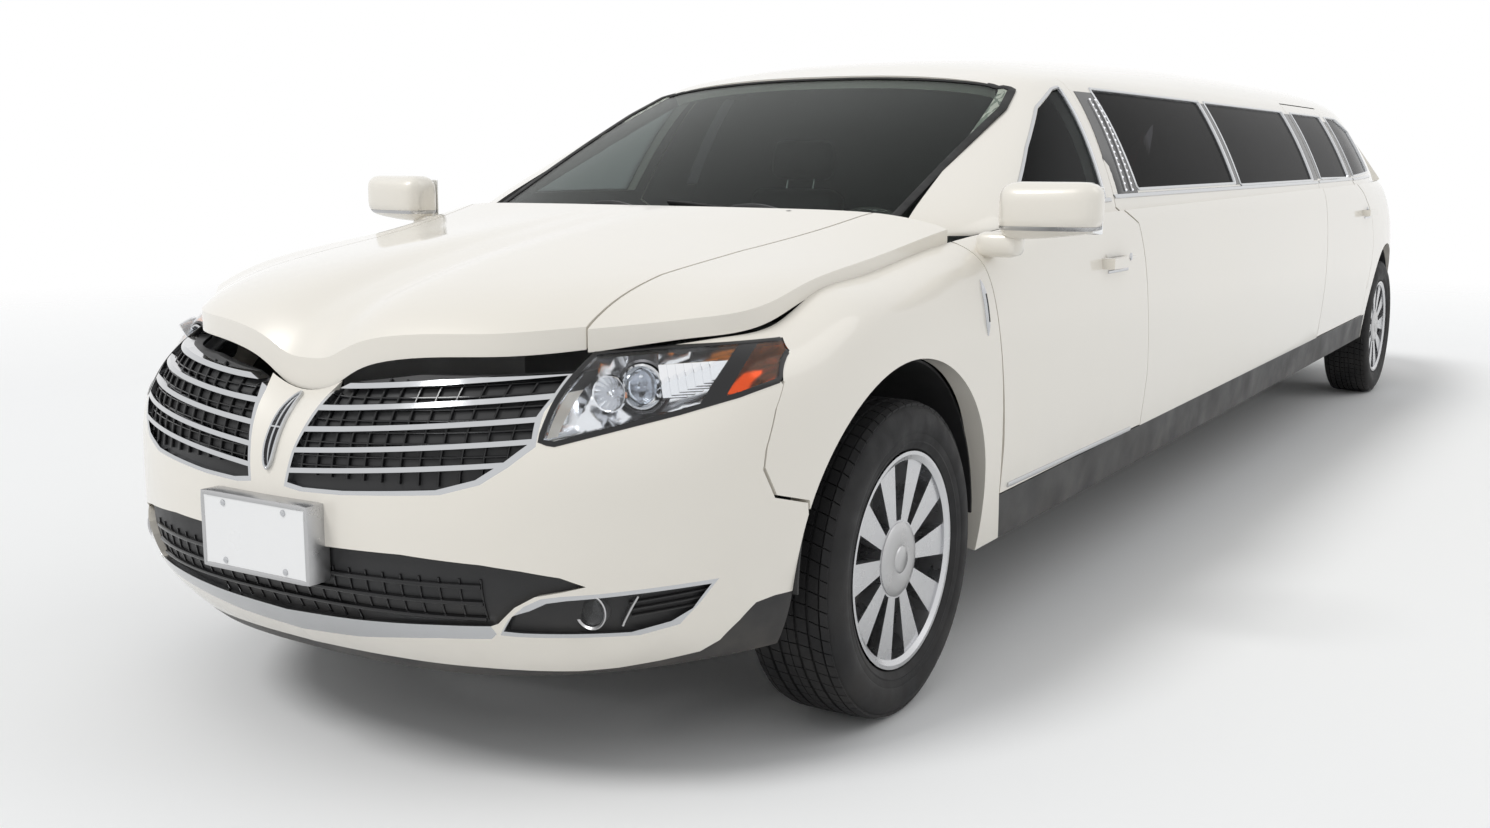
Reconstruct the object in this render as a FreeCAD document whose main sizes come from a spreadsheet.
# Stretch limousine built on a luxury crossover, in millimetres.
# +X points forward, +Y left, +Z up; the origin is on the ground, under the middle of the length.
import FreeCAD, Part
import math
import os
from FreeCAD import Vector

os.makedirs("parts", exist_ok=True)
doc = FreeCAD.newDocument("StretchLimousine")
sheet = doc.addObject("Spreadsheet::Sheet", "Sizes")

# Driving sizes
drivingSizes = [
    ("baseWheelbase", 2995, "wheelbase of the crossover before the stretch"),
    ("stretchLength", 3048, "length let in behind the front doors"),
    ("noseReach", 1030, "front axle to the foremost skin of the bumper"),
    ("tailReach", 1248, "rear axle to the rearmost skin of the bumper"),
    ("halfWidth", 968, "middle plane to the widest skin"),
    ("roofHeight", 1700, "ground to the crown of the roof"),
    ("eaveHeight", 1545, "ground to the edge of the roof over the side windows"),
    ("beltHeight", 1116, "ground to the belt line at the front axle"),
    ("bodyRise", 64, "rise of the body from the front axle to the rear axle"),
    ("panelGap", 5, "shut line between two panels"),
    ("doorWall", 72, "thickness of a door and of the wall beside it"),
    ("noseWall", 45, "thickness of bumpers and fenders"),
    ("roofWall", 42, "thickness of roof, pillars and window frames"),
    ("hoodWall", 32, "thickness of the hood"),
    ("glassWall", 6, "thickness of the glass"),
    ("glassInset", 6, "depth of the glass below the skin around it"),
    ("shutDraft", 20, "draft of the shut faces, in degrees"),
    ("cutOverrun", 300, "how far a cutting tool passes its work"),
    ("seatGap", 0.3, "clearance of a piece on its seat"),
    ("tyreDiameter", 741, "outer diameter of a tyre"),
    ("tyreWidth", 235, "width of a tyre over its side walls"),
    ("rimDiameter", 483, "bead seat of the rim"),
    ("rimFlange", 12, "height of the rim flange over the bead seat"),
    ("rimWidth", 206, "width of the rim over its flanges"),
    ("rimWall", 9, "thickness of the rim's barrel"),
    ("wheelTrack", 1670, "distance between the tyre middles of one axle"),
    ("hubRadius", 92, "radius of the wheel's centre cap"),
    ("hubDepth", 120, "length of the wheel's hub"),
    ("boreRadius", 33, "radius of the wheel's hub bore"),
    ("boreClearance", 0.05, "radial running clearance of the hub on its spindle"),
    ("spokeCount", 10, "number of wheel spokes"),
    ("spokeWidth", 78, "width of a spoke at the rim"),
    ("spokeThickness", 34, "thickness of a spoke"),
    ("archRadius", 445, "radius of a wheel arch"),
    ("archLift", 22, "height of the arch centre over the wheel centre"),
    ("frontSeamBack", 410, "front axle to the foremost edge of the front door"),
    ("frontDoorLength", 1238, "length of a front door under its belt"),
    ("rearDoorLength", 1185, "length of a rear door under its belt"),
    ("rearSeamAhead", 458, "rear axle to the rearmost edge of the rear door"),
    ("sillHeight", 422, "ground to the lower edge of the doors at the front axle"),
    ("claddingBottom", 290, "ground to the lower edge of the rocker cladding"),
    ("plateLength", 305, "length of a licence plate"),
    ("plateHeight", 152, "height of a licence plate"),
    ("plateDepth", 35, "depth of the plate holder"),
    ("plateCentre", 524, "ground to the middle of the front plate"),
    ("floorHeight", 400, "ground to the cabin floor"),
    ("floorThickness", 40, "thickness of the floor pan"),
    ("railHeight", 110, "height of a chassis rail"),
    ("railWidth", 70, "width of a chassis rail"),
    ("railOffset", 430, "middle plane to the middle of a chassis rail"),
    ("railBottom", 250, "ground to the lower face of the chassis rails"),
    ("crossHeight", 50, "height of a cross member"),
    ("jackPadLength", 100, "length of a jacking pad under a rail"),
    ("jackPadDrop", 12, "height of a jacking pad"),
    ("kickHeight", 190, "rise of the rails over the rear axle"),
    ("kingpinInset", 118, "wheel middle to the steering axis"),
    ("strutInset", 77, "steering axis to the middle of a strut"),
    ("knuckleDepth", 26, "half the width of the knuckle's upright"),
    ("armHeight", 200, "ground to the lower face of the suspension arms"),
    ("armThickness", 30, "thickness of the suspension arms"),
    ("upperArmHeight", 470, "ground to the lower face of the upper arms"),
    ("armLength", 420, "length of the subframe along the vehicle"),
    ("strutRadius", 30, "radius of a front strut"),
    ("towerHeight", 860, "ground to the underside of the strut towers"),
    ("towerWidth", 190, "length of a strut tower along the vehicle"),
    ("differentialRadius", 105, "radius of the differential"),
    ("grilleBarCount", 5, "number of bars in a grille wing"),
    ("grilleBarHeight", 10, "height of a grille bar"),
    ("grilleBarPitch", 40, "distance between two grille bars"),
    ("grilleBarLow", 650, "ground to the lowest grille bar, at the middle plane"),
    ("frameWidth", 9, "width of the bright frames round the grille and the fog lamps"),
    ("linerWall", 6, "thickness of a wheel arch liner"),
    ("dashDepth", 360, "depth of the dashboard along the vehicle"),
    ("driverOffset", 370, "middle plane to the middle of a front seat"),
    ("columnTilt", 25, "rise of the steering column, in degrees"),
    ("seatRunner", 120, "height of the seat runners"),
    ("backAngle", 12, "lean of a front seat's back, in degrees"),
    ("headRest", 150, "height of a head rest"),
    ("partitionWall", 40, "thickness of the partition behind the front seats"),
    ("barHeight", 460, "height of the bar cabinet"),
    ("barDepthShare", 0.8, "depth of the bar cabinet as a share of the bench's"),
    ("pipeOffset", 180, "middle plane to the exhaust pipe"),
    ("mirrorRoot", 985, "middle plane to the inner end of a mirror head"),
    ("mirrorLow", 1085, "ground to the lower side of a mirror head"),
    ("engineLength", 640, "length of the engine"),
    ("engineWidth", 560, "width of the engine"),
    ("engineHeight", 520, "height of the engine"),
    ("pipeRadius", 32, "radius of the exhaust pipe"),
    ("mufflerRadius", 78, "radius of the muffler"),
    ("mufflerLength", 620, "length of the muffler"),
    ("axleRadius", 38, "radius of the rear axle tube"),
    ("steeringRadius", 190, "radius of the steering wheel"),
    ("steeringRim", 15, "radius of the steering wheel's rim section"),
    ("seatWidth", 520, "width of a front seat"),
    ("seatDepth", 480, "depth of a seat cushion"),
    ("cushionHeight", 170, "height of a seat cushion"),
    ("backHeight", 560, "height of a seat back"),
    ("backDepth", 110, "thickness of a seat back"),
    ("benchWidth", 480, "depth of the side bench"),
    ("mirrorLength", 225, "width of a door mirror"),
    ("mirrorHeight", 145, "height of a door mirror"),
    ("mirrorDepth", 120, "depth of a door mirror"),
    ("handleLength", 210, "length of a door handle"),
    ("handleRadius", 13, "half the thickness of a door handle"),
    ("wiperLift", 26, "height of a wiper's tip over the glass"),
    ("plateHoleRadius", 3.5, "radius of a plate's screw holes"),
    ("plateHoleSpanX", 178, "distance of the plate's holes across"),
    ("plateHoleSpanZ", 121, "distance of the plate's holes in height"),
    ("wiperRadius", 7, "half the thickness of a wiper arm"),
]
for number, (alias, value, meaning) in enumerate(drivingSizes, start=1):
    sheet.set("A%d" % number, alias)
    sheet.set("B%d" % number, str(value))
    sheet.set("C%d" % number, meaning)
    sheet.setAlias("B%d" % number, alias)
doc.recompute()


class SheetReader:
    """Hands out the sheet's cells by their aliases."""
    def __getattr__(self, alias):
        return float(sheet.get(alias))


size = SheetReader()
wheelbase = size.baseWheelbase + size.stretchLength
frontAxle = (wheelbase + size.tailReach - size.noseReach - size.plateDepth) / 2
rearAxle = frontAxle - wheelbase
wheelCentre = size.tyreDiameter / 2
wheelMiddle = size.wheelTrack / 2
half = size.halfWidth
belt = size.beltHeight
cut = size.cutOverrun


# Places along the vehicle
def noseX(share):
    return frontAxle + share * size.noseReach


def middleX(share):
    return frontAxle - share * wheelbase


def tailX(share):
    return rearAxle - share * size.tailReach


def behindFront(share):
    """A place behind the front axle, as a share of the base wheelbase."""
    return frontAxle - share * size.baseWheelbase


def aheadRear(share):
    """A place ahead of the rear axle, as a share of the base wheelbase."""
    return rearAxle + share * size.baseWheelbase


def riseAt(x):
    return size.bodyRise * max(0, (frontAxle - x) / wheelbase)


# Spline surfaces from grids of poles
def splineSurface(grid):
    degreeU = min(3, len(grid) - 1)
    degreeV = min(3, len(grid[0]) - 1)
    spansU = len(grid) - degreeU
    spansV = len(grid[0]) - degreeV
    multsU = [degreeU + 1] + [1] * (spansU - 1) + [degreeU + 1]
    multsV = [degreeV + 1] + [1] * (spansV - 1) + [degreeV + 1]
    surface = Part.BSplineSurface()
    surface.buildFromPolesMultsKnots(
        grid, multsU, multsV,
        list(range(spansU + 1)), list(range(spansV + 1)),
        False, False, degreeU, degreeV)
    return surface


def poleNormal(grid, i, j):
    alongU = grid[min(i + 1, len(grid) - 1)][j] - grid[max(i - 1, 0)][j]
    alongV = grid[i][min(j + 1, len(grid[0]) - 1)] - grid[i][max(j - 1, 0)]
    normal = alongU.cross(alongV)
    normal.normalize()
    return normal


def insetGrid(grid, depths, onMiddle=(), straightTop=0):
    """The grid moved inwards along its normals; depths holds one depth per column.

    The last row of the first straightTop columns is moved straight down instead.
    """
    inner = []
    for i, column in enumerate(grid):
        moved = []
        for j, pole in enumerate(column):
            normal = poleNormal(grid, i, j)
            if i in onMiddle or ("top" in onMiddle and j == len(column) - 1):
                normal.y = 0
                normal.normalize()
            if i < straightTop and j == len(column) - 1:
                normal = Vector(0, 0, 1)
            moved.append(pole - normal * depths[i])
        inner.append(moved)
    return inner


def slab(outer, inner):
    """The solid between two grids of the same layout."""
    borders = [
        ([column[0] for column in outer], [column[0] for column in inner]),
        ([column[-1] for column in outer], [column[-1] for column in inner]),
        (outer[0], inner[0]),
        (outer[-1], inner[-1]),
    ]
    faces = [splineSurface(outer).toShape(), splineSurface(inner).toShape()]
    for outside, inside in borders:
        faces.append(splineSurface([outside, inside]).toShape())
    shell = Part.makeShell(faces)
    shell.sewShape()
    solid = Part.makeSolid(shell)
    if solid.Volume < 0:
        solid.reverse()
    return solid


def mirrorY(shape):
    return shape.mirror(Vector(0, 0, 0), Vector(0, 1, 0))


def polygonFace(points):
    return Part.Face(Part.makePolygon(points + points[:1]))


def sidePrism(outline, low, high):
    """An outline in the XZ plane, pulled from y = low to y = high."""
    face = polygonFace([Vector(x, low, z) for x, z in outline])
    return face.extrude(Vector(0, high - low, 0))


def planPrism(outline, low, high):
    face = polygonFace([Vector(x, y, low) for x, y in outline])
    return face.extrude(Vector(0, 0, high - low))


def frontPrism(outline, low, high):
    face = polygonFace([Vector(low, y, z) for y, z in outline])
    return face.extrude(Vector(high - low, 0, 0))


def boxBetween(low, high):
    span = [b - a for a, b in zip(low, high)]
    return Part.makeBox(span[0], span[1], span[2], Vector(*low))


subParts = []


def addFeature(name, shape):
    """A sub-part whose shape comes from splines and cuts."""
    feature = doc.addObject("Part::Feature", name)
    feature.Label = name
    feature.Shape = shape
    subParts.append(feature)
    return feature


def addPrimitive(kind, name, place, axis=None, expressions=None, values=None):
    """A parametric solid; expressions bind its sizes to the sheet, values come from named places."""
    item = doc.addObject(kind, name)
    item.Label = name
    for key, value in (values or {}).items():
        setattr(item, key, value)
    for key, expression in (expressions or {}).items():
        item.setExpression(key, expression)
    turn = FreeCAD.Rotation(Vector(0, 0, 1), axis) if axis else FreeCAD.Rotation()
    item.Placement = FreeCAD.Placement(Vector(*place), turn)
    return item


def addFusion(name, items):
    """A sub-part joined from parametric solids."""
    fusion = doc.addObject("Part::MultiFuse", name)
    fusion.Label = name
    fusion.Shapes = items
    fusion.Placement = FreeCAD.Placement()
    subParts.append(fusion)
    return fusion


def firstSolids(shape, smallest=0.02):
    """The shape's solids, without splinters smaller than a share of the largest."""
    solids = sorted(shape.Solids, key=lambda solid: -solid.Volume)
    kept = [solid for solid in solids if solid.Volume > smallest * solids[0].Volume]
    return kept[0] if len(kept) == 1 else Part.makeCompound(kept)


def largestSolid(shape):
    return max(shape.Solids, key=lambda solid: solid.Volume)


# Lower body: plan outline of the left half, front middle to rear middle.
# Each column: place, width share, heading of its outward normal in degrees, height profile.
nosePlanShares = [
    (1.000, 0.000, 0, "noseMiddle"),
    (0.9985, 0.075, 2, "noseMiddle"),
    (0.996, 0.165, 5, "noseBridge"),
    (0.972, 0.345, 12, "noseInner"),
    (0.915, 0.520, 25, "noseInner"),
    (0.820, 0.670, 38, "noseCorner"),
    (0.690, 0.795, 48, "noseCorner"),
    (0.550, 0.895, 60, "fenderTip"),
    (0.400, 0.957, 72, "fenderTip"),
    (0.220, 0.985, 82, "fender"),
    (0.000, 0.997, 88, "fender"),
]
middlePlanShares = [
    (0.055, 1.000, 90, "cowlSide"),
    (0.130, 1.000, 90, "side"),
    (0.250, 1.000, 90, "side"),
    (0.500, 1.000, 90, "side"),
    (0.750, 1.000, 90, "side"),
    (0.900, 1.000, 90, "side"),
    (1.000, 0.999, 91, "haunch"),
]
tailPlanShares = [
    (0.200, 0.975, 97, "haunch"),
    (0.370, 0.935, 104, "quarter"),
    (0.560, 0.880, 112, "quarter"),
    (0.730, 0.805, 124, "tailCorner"),
    (0.860, 0.700, 140, "tailCorner"),
    (0.940, 0.540, 158, "tailMiddle"),
    (0.985, 0.330, 170, "tailMiddle"),
    (0.998, 0.160, 176, "tailMiddle"),
    (1.000, 0.000, 180, "tailMiddle"),
]
# Each profile: height as a share of the belt height, inset as a share of the half width.
profileShares = {
    "noseMiddle": [(0.210, 0.155), (0.268, 0.072), (0.358, 0.008), (0.448, 0.000), (0.538, 0.000),
                   (0.618, 0.012), (0.668, 0.041), (0.702, 0.078), (0.722, 0.124)],
    "noseBridge": [(0.212, 0.150), (0.270, 0.068), (0.358, 0.008), (0.448, 0.000), (0.538, 0.000),
                   (0.621, 0.010), (0.690, 0.038), (0.744, 0.075), (0.780, 0.122)],
    "noseInner": [(0.215, 0.140), (0.275, 0.060), (0.360, 0.006), (0.450, 0.000), (0.540, 0.000),
                  (0.622, 0.008), (0.692, 0.034), (0.756, 0.074), (0.800, 0.130)],
    "noseCorner": [(0.226, 0.110), (0.288, 0.030), (0.368, 0.000), (0.457, 0.000), (0.546, 0.000),
                   (0.627, 0.000), (0.699, 0.031), (0.762, 0.093), (0.806, 0.170)],
    "fenderTip": [(0.246, 0.062), (0.300, 0.021), (0.372, 0.005), (0.466, 0.000), (0.573, 0.000),
                  (0.672, 0.002), (0.753, 0.014), (0.806, 0.050), (0.830, 0.120)],
    "fender": [(0.260, 0.043), (0.314, 0.035), (0.378, 0.027), (0.493, 0.011), (0.627, 0.000),
               (0.752, 0.003), (0.846, 0.020), (0.893, 0.062), (0.908, 0.150)],
    "cowlSide": [(0.262, 0.043), (0.315, 0.035), (0.378, 0.027), (0.493, 0.011), (0.634, 0.000),
                 (0.776, 0.003), (0.885, 0.018), (0.940, 0.060), (0.958, 0.150)],
    "side": [(0.262, 0.043), (0.315, 0.035), (0.378, 0.027), (0.493, 0.011), (0.636, 0.000),
             (0.788, 0.003), (0.914, 0.015), (0.972, 0.027), (1.000, 0.043)],
    "haunch": [(0.262, 0.043), (0.315, 0.035), (0.378, 0.027), (0.493, 0.011), (0.636, 0.000),
               (0.788, 0.006), (0.914, 0.035), (0.972, 0.065), (1.000, 0.096)],
    "quarter": [(0.255, 0.050), (0.310, 0.035), (0.375, 0.020), (0.480, 0.008), (0.620, 0.000),
                (0.765, 0.012), (0.890, 0.045), (0.955, 0.080), (0.990, 0.112)],
    "tailCorner": [(0.242, 0.070), (0.296, 0.030), (0.370, 0.005), (0.460, 0.000), (0.560, 0.000),
                   (0.670, 0.020), (0.790, 0.055), (0.890, 0.085), (0.950, 0.120)],
    "tailMiddle": [(0.242, 0.110), (0.296, 0.045), (0.372, 0.005), (0.455, 0.000), (0.535, 0.000),
                   (0.620, 0.030), (0.720, 0.070), (0.830, 0.105), (0.925, 0.140)],
}


def lowerBodyGrid():
    columns = []
    places = [(noseX(row[0]), row) for row in nosePlanShares]
    places += [(middleX(row[0]), row) for row in middlePlanShares]
    places += [(tailX(row[0]), row) for row in tailPlanShares]
    for x, (share, width, heading, profile) in places:
        outward = Vector(math.cos(math.radians(heading)), math.sin(math.radians(heading)), 0)
        base = Vector(x, width * half, 0)
        column = []
        for height, inset in profileShares[profile]:
            pole = base - outward * (inset * half)
            if width == 0:
                pole.y = 0
            pole.z = height * belt + riseAt(x)
            column.append(pole)
        columns.append(column)
    return columns


lowerOuter = lowerBodyGrid()
lowerDepths = [size.noseWall] * (len(nosePlanShares) + 1) + [size.doorWall] * 7 + [size.noseWall] * 8
lastColumn = len(lowerOuter) - 1
noseColumns = len(nosePlanShares) + 1
lowerInner = insetGrid(lowerOuter, lowerDepths, onMiddle=(0, lastColumn), straightTop=noseColumns)
lowerLeft = slab(lowerOuter, lowerInner)

# Upper body: stations from the windscreen pillar to the tail.
# Each station: place at the belt, place at the roof, width shares there, eave and crown shares.
upperStationShares = [
    (behindFront(0.1385), behindFront(0.434), 0.734, 0.620, 0.971, 0.910),
    (behindFront(0.175), behindFront(0.462), 0.885, 0.672, 0.986, 0.918),
    (behindFront(0.220), behindFront(0.495), 0.930, 0.697, 0.994, 0.936),
    (behindFront(0.350), behindFront(0.600), 0.946, 0.718, 1.000, 0.956),
    (behindFront(0.600), behindFront(0.800), 0.948, 0.723, 1.003, 0.976),
    (middleX(0.500), middleX(0.530), 0.948, 0.723, 1.007, 0.994),
    (middleX(0.700), middleX(0.700), 0.948, 0.723, 1.011, 1.000),
    (aheadRear(0.310), aheadRear(0.310), 0.948, 0.723, 1.013, 1.000),
    (aheadRear(0.145), aheadRear(0.160), 0.940, 0.712, 1.013, 0.996),
    (tailX(0.010), tailX(-0.060), 0.895, 0.672, 1.011, 0.988),
    (tailX(0.285), tailX(0.170), 0.838, 0.610, 1.008, 0.978),
    (tailX(0.500), tailX(0.300), 0.785, 0.555, 1.005, 0.967),
]
# Each row of the side: share of the way from belt to eave in height, and inwards.
sideRowShares = [(-0.080, 0.000), (0.000, 0.000), (0.330, 0.250), (0.660, 0.560), (0.920, 0.870), (1.000, 1.000)]
# Each row of the roof: width as a share of the eave's, share of the way from eave to crown.
roofRowShares = [(0.870, 0.450), (0.500, 0.920), (0.220, 1.000), (0.000, 1.000)]


def upperBodyGrid():
    columns = []
    for beltX, roofX, beltWidth, eaveWidth, eaveShare, crownShare in upperStationShares:
        low = belt + riseAt(beltX)
        eave = eaveShare * size.eaveHeight
        crown = crownShare * size.roofHeight
        column = []
        for up, inward in sideRowShares:
            x = beltX + (roofX - beltX) * max(up, 0)
            y = half * (beltWidth + (eaveWidth - beltWidth) * inward)
            column.append(Vector(x, y, low + (eave - low) * up))
        for across, up in roofRowShares:
            column.append(Vector(roofX, half * eaveWidth * across, eave + (crown - eave) * up))
        columns.append(column)
    return columns


upperOuter = upperBodyGrid()
upperInner = insetGrid(upperOuter, [size.roofWall] * len(upperOuter), onMiddle=("top",))
upperLeft = slab(upperOuter, upperInner)

# Hood: one column for each nose column of the lower body, whose top row it meets with a gap.
hoodCowlShares = [(-0.405, 0.875, 0.968), (-0.372, 0.760, 0.997), (-0.330, 0.650, 1.006), (-0.292, 0.510, 1.009),
                  (-0.262, 0.370, 1.010), (-0.245, 0.250, 1.011), (-0.236, 0.125, 1.011), (-0.236, 0.060, 1.011),
                  (-0.236, 0.000, 1.011)]
hoodRowShares = [0.00, 0.20, 0.40, 0.60, 0.80, 0.92, 0.97, 1.00]
edgeDropShares = [0.00, 0.22, 0.38, 0.49, 0.63, 0.82, 0.93, 1.00]
middleDropShares = [0.00, 0.115, 0.235, 0.360, 0.500, 0.610, 0.770, 1.000]
creaseRiseShares = [0.000, 0.000, 0.000, 0.000, 0.000, 0.003, 0.014, 0.016, 0.016]
# The outer columns reach past the fender's inner edge, where the plan outline trims them.
fenderColumns = 3


def hoodGrid():
    columns = []
    frontPlaces = [(lowerOuter[i][-1], nosePlanShares[i][2]) for i in range(len(hoodCowlShares) - 1, -1, -1)]
    for i, ((front, heading), rear) in enumerate(zip(frontPlaces, hoodCowlShares)):
        outward = Vector(math.cos(math.radians(heading)), math.sin(math.radians(heading)), 0)
        low = front + outward * (2 * size.panelGap if i < fenderColumns else -size.panelGap)
        high = Vector(noseX(rear[0]), rear[1] * half, rear[2] * belt)
        middle = i / (len(hoodCowlShares) - 1)
        column = []
        for along, edgeDrop, middleDrop in zip(hoodRowShares, edgeDropShares, middleDropShares):
            drop = edgeDrop + (middleDrop - edgeDrop) * middle
            x = high.x + (low.x - high.x) * along
            y = high.y + (low.y - high.y) * along ** 2
            z = high.z + (low.z - high.z) * drop
            z += creaseRiseShares[i] * belt * math.sin(math.pi * along)
            column.append(Vector(x, y, z))
        column[0] = high
        columns.append(column)
    return columns


def mirroredColumns(columns):
    """The left half's columns, whose last one is on the middle plane, and their mirror images."""
    mirrored = [[Vector(p.x, -p.y, p.z) for p in column] for column in columns[:-1]]
    return columns + mirrored[::-1]


hoodOuter = [column[::-1] for column in mirroredColumns(hoodGrid())]
hoodInner = insetGrid(hoodOuter, [size.hoodWall] * len(hoodOuter))
hoodSlab = slab(hoodOuter, hoodInner)
# The hood's side seam in plan: place along the nose, share of the half width
hoodSeamShares = [(1.200, 0.590), (0.626, 0.580), (0.400, 0.567), (0.275, 0.578), (0.127, 0.590), (0.000, 0.612),
                  (-0.150, 0.643), (-0.300, 0.672), (-0.440, 0.712)]


def hoodZone(grow):
    """The hood's plan outline, wider by a gap for what lies beside the hood."""
    side = [(noseX(along), across * half + grow) for along, across in hoodSeamShares]
    return planPrism(side + [(x, -y) for x, y in side[::-1]], size.sillHeight, size.roofHeight)


def planInside(shrink):
    """What lies inside the upper edge of the lower body in plan, ahead of the windscreen pillars."""
    headings = [row[2] for row in nosePlanShares + middlePlanShares + tailPlanShares]
    poles = []
    for heading, column in zip(headings, lowerOuter):
        outward = Vector(math.cos(math.radians(heading)), math.sin(math.radians(heading)), 0)
        pole = column[-1] - outward * shrink
        poles.append(Vector(pole.x, max(0, pole.y), size.sillHeight))
    poles[0].y = 0
    poles[-1].y = 0
    spans = len(poles) - 3
    curve = Part.BSplineCurve()
    curve.buildFromPolesMultsKnots(poles, [4] + [1] * (spans - 1) + [4], list(range(spans + 1)), False, 3)
    edge = curve.toShape()
    face = Part.Face(Part.Wire([edge, mirrorY(edge)]))
    inside = face.extrude(Vector(0, 0, size.roofHeight))
    return inside.common(boxBetween((noseX(fenderRearShare), -half, 0), (noseX(1), half, 2 * size.roofHeight)))


fenderRearShare = -0.385
hoodInside = hoodSlab.common(planInside(size.seatGap))
hoodPanel = hoodSlab.common(planInside(size.panelGap + size.seatGap)).common(hoodZone(0))
fenderTops = hoodInside.cut(hoodZone(size.panelGap))

# Windscreen: from the cowl to the header; left pillar to right pillar.
screenLowShares = [(0.150, 0.840, 0.985), (0.117, 0.640, 0.985), (0.096, 0.400, 0.985), (0.087, 0.180, 0.985),
                   (0.085, 0.000, 0.985)]
screenHighShares = [(0.432, 0.660, 0.966), (0.438, 0.520, 0.985), (0.442, 0.340, 0.997), (0.443, 0.150, 1.002),
                    (0.443, 0.000, 1.002)]
screenRowShares = [0.0, 0.25, 0.5, 0.75, 1.0]


def screenGrid(lowShares, highShares, place, bulge):
    columns = []
    for low, high in zip(lowShares, highShares):
        column = []
        for up in screenRowShares:
            x = place(low[0]) + (place(high[0]) - place(low[0])) * up
            y = half * (low[1] + (high[1] - low[1]) * up)
            z = low[2] * belt + (high[2] * size.eaveHeight - low[2] * belt) * up
            z += bulge * math.sin(math.pi * up)
            column.append(Vector(x, y, z))
        columns.append(column)
    return mirroredColumns(columns)


screenBulge = 2 * size.glassWall
screenOuter = screenGrid(screenLowShares, screenHighShares, behindFront, screenBulge)
screenInner = insetGrid(screenOuter, [-size.glassWall] * len(screenOuter))
screenSlab = slab(screenOuter, screenInner)

# Tailgate window frame: from the tail's belt to the rear edge of the roof.
gateLowShares = [(0.500, 0.787, 1.040), (0.660, 0.690, 1.000), (0.800, 0.540, 0.978), (0.865, 0.290, 0.975),
                 (0.882, 0.000, 0.975)]
gateHighShares = [(0.300, 0.553, 1.003), (0.300, 0.470, 1.027), (0.300, 0.320, 1.050), (0.300, 0.150, 1.062),
                  (0.300, 0.000, 1.062)]
gateOuter = screenGrid(gateLowShares, gateHighShares, tailX, 0)
gateInner = insetGrid(gateOuter, [-size.roofWall] * len(gateOuter))
gateSlab = slab(gateOuter, gateInner)


# Window, door and seam lines in the side view: place, height share of the roof, width share of the skin.
tanDraft = math.tan(math.radians(size.shutDraft))
outside = half + cut
inside = half - cut
across = -cut


def draftedPrism(outline, grow):
    """A door-shaped tool whose rear faces lean forward on their way in.

    Each point: place, height share, width share of the skin there, lean (1 on the rear shut face).
    """
    centreX = sum(point[0] for point in outline) / len(outline)
    wires = []
    for y in (outside, inside):
        points = []
        for x, height, width, lean in outline:
            shift = (width * half - y) * tanDraft * lean
            away = grow if x > centreX else -grow
            points.append(Vector(x + shift + away, y, height * size.roofHeight))
        wires.append(Part.makePolygon(points + points[:1]))
    return Part.makeLoft(wires, True, True)


frontSeam = frontAxle - size.frontSeamBack
frontRear = frontSeam - size.frontDoorLength
rearFront = rearAxle + size.rearSeamAhead + size.rearDoorLength
rearRear = rearAxle + size.rearSeamAhead
base = size.baseWheelbase
sillShare = size.sillHeight / size.roofHeight


def sillAt(x):
    return (size.sillHeight + riseAt(x)) / size.roofHeight


# Rows of a seam line: its anchor, its distance from there as a share of the base wheelbase, and the rest
def placed(rows):
    return [(row[0] + row[1] * base,) + tuple(row[2:]) for row in rows]


# Front door: lower outline, upper outline and window
frontDoorLower = placed([
    (frontSeam, 0, 0.672, 0.97, 0), (frontSeam, -0.004, 0.620, 1, 0), (frontSeam, -0.024, 0.470, 1, 0),
    (frontSeam, -0.042, 0.330, 0.99, 0), (frontSeam, -0.047, sillAt(frontSeam), 0.97, 0),
    (frontRear, -0.022, sillAt(frontRear), 0.97, 1), (frontRear, -0.021, 0.360, 0.99, 1),
    (frontRear, -0.010, 0.460, 1, 1), (frontRear, 0, 0.570, 1, 1), (frontRear, 0.012, 0.640, 0.98, 1),
    (frontRear, 0.056, 0.672, 0.96, 1),
])
frontDoorUpper = placed([
    (frontSeam, -0.010, 0.664, 0.94, 0), (frontSeam, -0.085, 0.728, 0.90, 0),
    (frontSeam, -0.180, 0.803, 0.84, 0), (frontSeam, -0.260, 0.866, 0.79, 0),
    (frontSeam, -0.330, 0.903, 0.75, 0), (frontRear, 0.020, 0.911, 0.75, 1),
    (frontRear, 0.057, 0.664, 0.94, 1),
])
frontWindow = placed([
    (frontSeam, -0.122, 0.690), (frontSeam, -0.205, 0.772), (frontSeam, -0.285, 0.843),
    (frontSeam, -0.345, 0.878), (frontRear, 0.048, 0.884), (frontRear, 0.078, 0.690),
])
rearDoorLower = placed([
    (rearFront, 0, 0.684, 0.96, 0), (rearFront, 0, 0.600, 1, 0), (rearFront, 0, sillAt(rearFront), 0.97, 0),
    (rearRear, 0.026, sillAt(rearRear), 0.97, 1), (rearRear, 0.022, 0.370, 1, 1),
    (rearRear, 0.004, 0.440, 1, 1), (rearRear, 0, 0.510, 1, 1), (rearRear, 0.014, 0.590, 1, 1),
    (rearRear, 0.075, 0.660, 0.97, 1), (rearRear, 0.118, 0.696, 0.96, 1),
])
rearDoorUpper = placed([
    (rearFront, 0, 0.672, 0.94, 0), (rearFront, 0, 0.911, 0.75, 0), (rearRear, 0.138, 0.911, 0.75, 1),
    (rearRear, 0.133, 0.800, 0.84, 1), (rearRear, 0.122, 0.680, 0.94, 1),
])
rearWindow = placed([
    (rearFront, -0.022, 0.708), (rearFront, -0.022, 0.886),
    (rearRear, 0.158, 0.886), (rearRear, 0.150, 0.708),
])
windowFloor = 0.700


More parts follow.
